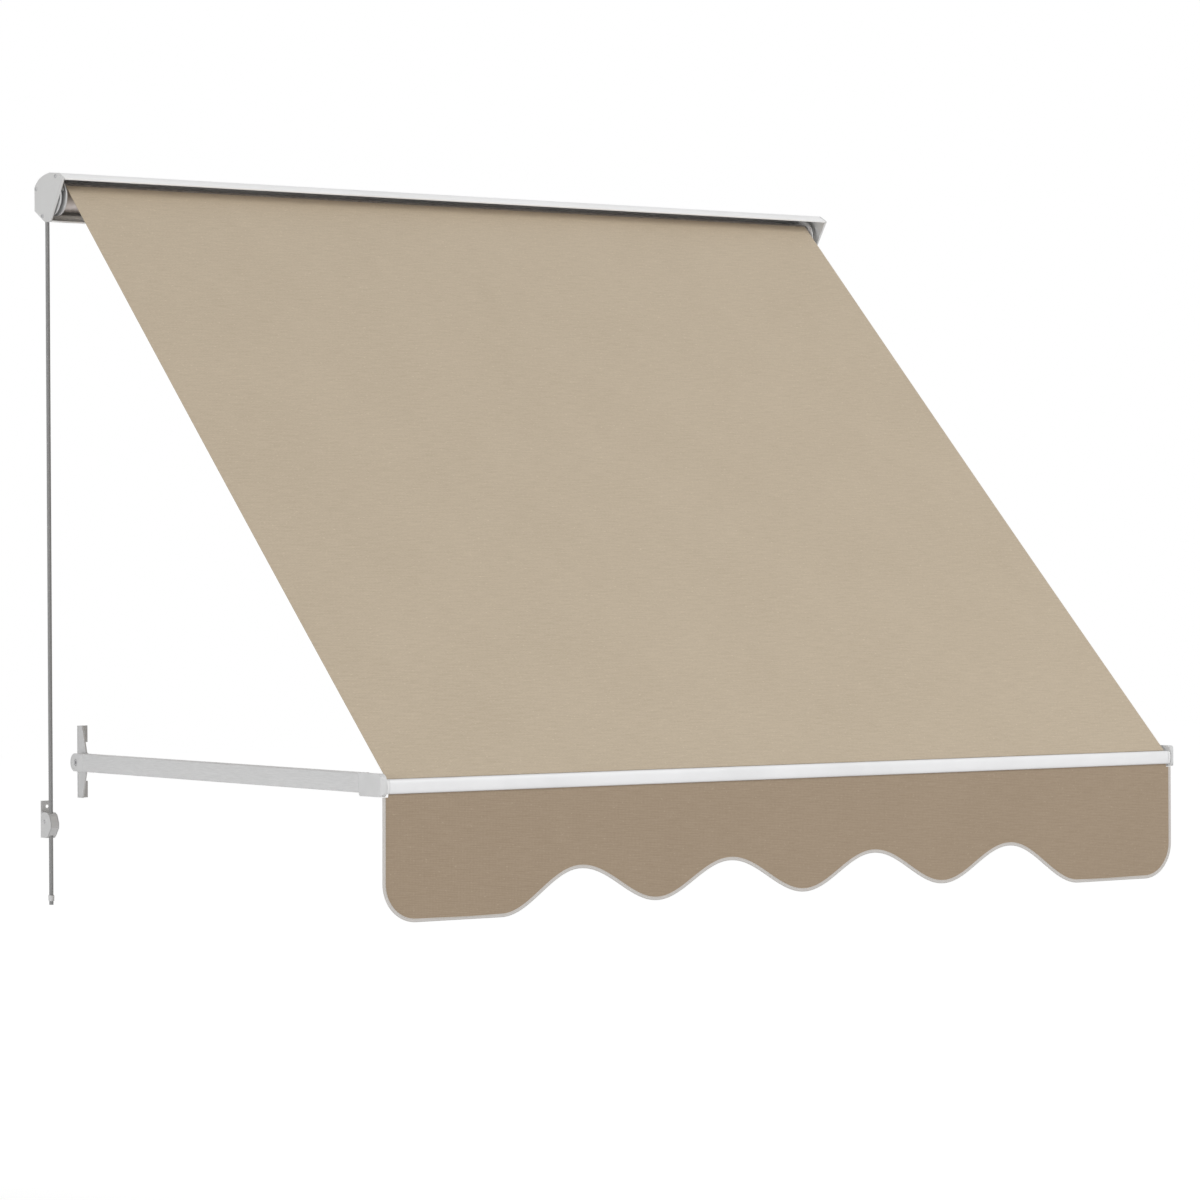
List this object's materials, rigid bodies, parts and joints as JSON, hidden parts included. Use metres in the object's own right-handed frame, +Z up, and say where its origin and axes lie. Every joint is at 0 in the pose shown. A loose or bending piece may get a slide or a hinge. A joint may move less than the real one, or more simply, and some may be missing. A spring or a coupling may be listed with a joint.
{
  "type": "window_awning",
  "caption": "Drop-arm window awning with a cassette head, fabric roller, taut beige canopy, scalloped valance, swinging side arms and a pull cord",
  "frame": {"origin": "On the head casing's flat back, at mid width and at the height of the roller's axis", "axes": "+Y into the wall, square to the casing's flat back; X along the width; Z up, with the awning standing out towards -Y"},
  "size_m": [1.2248, 0.786, 0.9201],
  "materials": {
    "casing_enamel": "Satin white powder coat on extruded aluminium",
    "plate_enamel": "Pale grey powder coat on pressed metal",
    "arm_aluminium": "Brushed and anodised, fine grain along the arm",
    "grey_moulding": "Pale grey moulded plastic with a fine texture",
    "roller_steel": "Galvanised tube, dull",
    "zinc_plate": "Zinc plated, slightly dull",
    "canopy_canvas": "Plain beige woven acrylic canvas, matt",
    "valance_canvas": "The canopy's canvas, in its own shade",
    "binding_tape": "Pale grey woven binding, rolled to a round edge",
    "cord_braid": "Grey braided polyester cord",
    "welt_plastic": "Extruded welt cord"
  },
  "bodies": {
    "head": {"cord": "cord_braid", "cord_tip": "grey_moulding", "end_plate_left": "plate_enamel", "end_plate_right": "plate_enamel", "head_casing": "casing_enamel", "lock_bracket": "plate_enamel", "lock_housing": "grey_moulding", "lock_pin": "zinc_plate", "pivot_bolt_left": "zinc_plate", "pivot_bolt_right": "zinc_plate", "pivot_nut_left": "zinc_plate", "pivot_nut_right": "zinc_plate", "pivot_washer_left": "zinc_plate", "pivot_washer_right": "zinc_plate", "plate_screw_left_1": "zinc_plate", "plate_screw_left_2": "zinc_plate", "plate_screw_left_3": "zinc_plate", "plate_screw_right_1": "zinc_plate", "plate_screw_right_2": "zinc_plate", "plate_screw_right_3": "zinc_plate", "roller_pin_left": "zinc_plate", "roller_pin_right": "zinc_plate", "wall_bracket_left": "plate_enamel", "wall_bracket_right": "plate_enamel"},
    "left_arm": {"arm_tube_left": "arm_aluminium", "arm_wall_cap_left": "grey_moulding", "arm_front_fitting_left": "grey_moulding"},
    "right_arm": {"arm_tube_right": "arm_aluminium", "arm_wall_cap_right": "grey_moulding", "arm_front_fitting_right": "grey_moulding"},
    "roller": {"roller_tube": "roller_steel", "cord_spool": "grey_moulding", "roller_plug_right": "grey_moulding", "cord_windings": "cord_braid", "roller_bush_left": "grey_moulding", "roller_bush_right": "grey_moulding", "canopy_welt_rear": "welt_plastic"},
    "canopy": {"canopy": "canopy_canvas"},
    "front_bar": {"front_bar": "casing_enamel", "bar_end_plug_left": "grey_moulding", "bar_end_plug_right": "grey_moulding", "bar_pivot_pin_left": "zinc_plate", "bar_pivot_pin_right": "zinc_plate", "canopy_welt_front": "welt_plastic", "valance": "valance_canvas", "valance_piping": "binding_tape", "valance_welt": "welt_plastic"},
    "lock_cam": {"lock_cam": "zinc_plate"}
  },
  "joints": [
    {"name": "left_arm_swing", "type": "hinge", "parent": "head", "child": "left_arm", "pos_m": [-0.5555, -0.0214, -0.7111], "axis": [-1, 0, 0], "range_deg": [0, 75]},
    {"name": "right_arm_swing", "type": "hinge", "parent": "head", "child": "right_arm", "pos_m": [0.5555, -0.0214, -0.7111], "axis": [-1, 0, 0], "range_deg": [0, 75]},
    {"name": "front_bar_tilt", "type": "hinge", "parent": "left_arm", "child": "front_bar", "pos_m": [-0.5925, -0.748, -0.7111], "axis": [-1, 0, 0], "range_deg": [-75, 0]},
    {"name": "roller_spin", "type": "hinge", "parent": "head", "child": "roller", "pos_m": [0, -0.0355, 0], "axis": [-1, 0, 0], "range_deg": [0, 2480]},
    {"name": "canopy_swing", "type": "hinge", "parent": "head", "child": "canopy", "pos_m": [0, -0.0355, 0], "axis": [-1, 0, 0], "range_deg": [0, 37.6], "deforming": ["canopy"]},
    {"name": "lock_cam_turn", "type": "hinge", "parent": "head", "child": "lock_cam", "pos_m": [-0.6011, -0.009, -0.7852], "axis": [-1, 0, 0], "range_deg": [0, 25]}
  ],
  "couplings": [
    {"joint": "right_arm_swing", "follows": "left_arm_swing", "ratio": 1},
    {"joint": "front_bar_tilt", "follows": "left_arm_swing", "ratio": -1},
    {"joint": "roller_spin", "follows": "left_arm_swing", "ratio": 33.03},
    {"joint": "canopy_swing", "follows": "left_arm_swing", "ratio": 0.5007}
  ]
}
